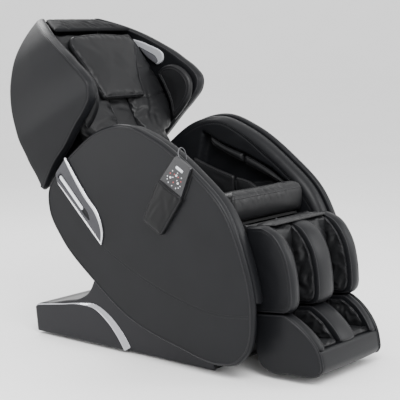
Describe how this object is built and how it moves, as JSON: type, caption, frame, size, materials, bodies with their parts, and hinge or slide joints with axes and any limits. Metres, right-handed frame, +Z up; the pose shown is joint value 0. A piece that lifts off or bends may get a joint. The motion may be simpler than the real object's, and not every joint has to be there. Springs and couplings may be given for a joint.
{
  "type": "massage chair",
  "caption": "Full-body massage chair: floor base, sliding seat body with leaf-shaped side panels, reclining hooded back, lifting leg rest with calf channels and an extending foot rest.",
  "frame": {"origin": "on the floor, under the middle of the chair's outline at rest", "axes": "+Z up, the sitter faces -Y, the sitter's left is +X"},
  "size_m": [0.726, 1.4466, 1.2932],
  "materials": {
    "dark_steel": "black powder coat",
    "bright_steel": "ground",
    "base_paint": "gunmetal metallic paint, satin",
    "rubber": "matt",
    "wheel_plastic": "matt",
    "black_plastic": "fine texture",
    "plywood": "raw",
    "smooth_leather": "satin grain",
    "soft_leather": "satin, soft",
    "pouch_leather": "satin grain",
    "silver_trim": "silver plated",
    "light_lens": "frosted",
    "handset_plastic": "satin",
    "key_plastic": "matt",
    "cord_sheath": "matt"
  },
  "bodies": {
    "base": {"floor_strips": "rubber", "base_frame": "dark_steel", "slide_rails": "bright_steel", "base_cover_left": "base_paint", "base_cover_right": "base_paint", "base_rear_cover": "base_paint", "power_inlet": "black_plastic", "control_box": "black_plastic"},
    "switch": {"power_switch": "black_plastic"},
    "wheels": {"transport_wheels": "wheel_plastic"},
    "seat": {"seat_frame": "dark_steel", "seat_pan": "plywood", "seat_cushion": "soft_leather", "seat_front_cover": "black_plastic", "seat_rear_cover": "black_plastic", "side_panel_left": "smooth_leather", "side_panel_right": "smooth_leather", "arm_left": "smooth_leather", "arm_right": "smooth_leather", "grille_left": "silver_trim", "grille_right": "silver_trim", "light_bars": "light_lens", "arm_pads": "soft_leather", "hip_pads": "soft_leather", "remote_pouch": "pouch_leather", "handset": "handset_plastic", "handset_cord": "cord_sheath", "back_actuator": "black_plastic", "leg_actuator": "black_plastic"},
    "power_key": {"handset_power_key": "key_plastic"},
    "up_key": {"handset_up_key": "key_plastic"},
    "down_key": {"handset_down_key": "key_plastic"},
    "backrest": {"back_frame": "dark_steel", "back_cushion": "soft_leather", "back_shell": "smooth_leather", "hood_top": "smooth_leather", "wing_left": "smooth_leather", "wing_right": "smooth_leather", "wing_pad_left": "soft_leather", "wing_pad_right": "soft_leather", "speaker_trims": "silver_trim"},
    "pillow": {"headrest_pillow": "soft_leather"},
    "screw": {"lift_screw": "bright_steel"},
    "carriage": {"roller_carriage": "dark_steel"},
    "rollers_low": {"lower_rollers": "wheel_plastic"},
    "rollers_high": {"upper_rollers": "wheel_plastic"},
    "back_rod": {"back_actuator_rod": "bright_steel"},
    "leg_rod": {"leg_actuator_rod": "bright_steel"},
    "legrest": {"leg_frame": "dark_steel", "leg_back_cover": "black_plastic", "calf_wall_left": "smooth_leather", "calf_wall_right": "smooth_leather", "calf_liner": "soft_leather", "calf_divider": "smooth_leather"},
    "footrest": {"foot_frame": "dark_steel", "foot_wall_left": "smooth_leather", "foot_wall_right": "smooth_leather", "foot_liner": "soft_leather", "foot_divider": "smooth_leather", "foot_toe_cover": "smooth_leather"}
  },
  "joints": [
    {"name": "seat_slide", "type": "slide", "parent": "base", "child": "seat", "axis": [0, -1, 0], "range_m": [0, 0.12]},
    {"name": "back_recline", "type": "hinge", "parent": "seat", "child": "backrest", "pos_m": [0, 0.19, 0.42], "axis": [-1, 0, 0], "range_deg": [0, 45]},
    {"name": "back_push", "type": "slide", "parent": "seat", "child": "back_rod", "axis": [0, -1, 0], "range_m": [0, 0.068]},
    {"name": "leg_lift", "type": "hinge", "parent": "seat", "child": "legrest", "pos_m": [0, -0.38, 0.535], "axis": [-1, 0, 0], "range_deg": [0, 78]},
    {"name": "leg_push", "type": "slide", "parent": "seat", "child": "leg_rod", "axis": [0, -1, 0], "range_m": [0, 0.128]},
    {"name": "foot_extend", "type": "slide", "parent": "legrest", "child": "footrest", "axis": [0, -0.1271, -0.9919], "range_m": [0, 0.15]},
    {"name": "pillow_flip", "type": "hinge", "parent": "backrest", "child": "pillow", "pos_m": [0, 0.5419, 1.23223], "axis": [-1, 0, 0], "range_deg": [0, 80]},
    {"name": "carriage_lift", "type": "slide", "parent": "backrest", "child": "carriage", "axis": [0, 0.4848, 0.8746], "range_m": [-0.13, 0.36]},
    {"name": "screw_turn", "type": "hinge", "parent": "backrest", "child": "screw", "pos_m": [0, 0.35293, 0.67269], "axis": [0, 0.4848, 0.8746], "range_deg": [-2341, 6481]},
    {"name": "lower_roller_turn", "type": "hinge", "parent": "carriage", "child": "rollers_low", "pos_m": [0, 0.34192, 0.71881], "axis": [1, 0, 0], "continuous": true},
    {"name": "upper_roller_turn", "type": "hinge", "parent": "carriage", "child": "rollers_high", "pos_m": [0, 0.38555, 0.79753], "axis": [1, 0, 0], "continuous": true},
    {"name": "wheel_turn", "type": "hinge", "parent": "base", "child": "wheels", "pos_m": [0, 0.598, 0.028], "axis": [1, 0, 0], "continuous": true},
    {"name": "switch_rock", "type": "hinge", "parent": "base", "child": "switch", "pos_m": [-0.088, 0.633, 0.06], "axis": [1, 0, 0], "range_deg": [0, 10]},
    {"name": "power_press", "type": "slide", "parent": "seat", "child": "power_key", "axis": [1, 0, 0], "range_m": [0, 0.001], "stiffness_N_per_m": 300},
    {"name": "up_press", "type": "slide", "parent": "seat", "child": "up_key", "axis": [1, 0, 0], "range_m": [0, 0.001], "stiffness_N_per_m": 300},
    {"name": "down_press", "type": "slide", "parent": "seat", "child": "down_key", "axis": [1, 0, 0], "range_m": [0, 0.001], "stiffness_N_per_m": 300}
  ],
  "couplings": [
    {"joint": "back_recline", "follows": "seat_slide", "rad_per_m": 6.5449},
    {"joint": "back_push", "follows": "seat_slide", "ratio": 0.56661},
    {"joint": "leg_push", "follows": "leg_lift", "m_per_rad": 0.09401},
    {"joint": "foot_extend", "follows": "leg_lift", "m_per_rad": 0.11017},
    {"joint": "screw_turn", "follows": "carriage_lift", "rad_per_m": 314.16}
  ]
}
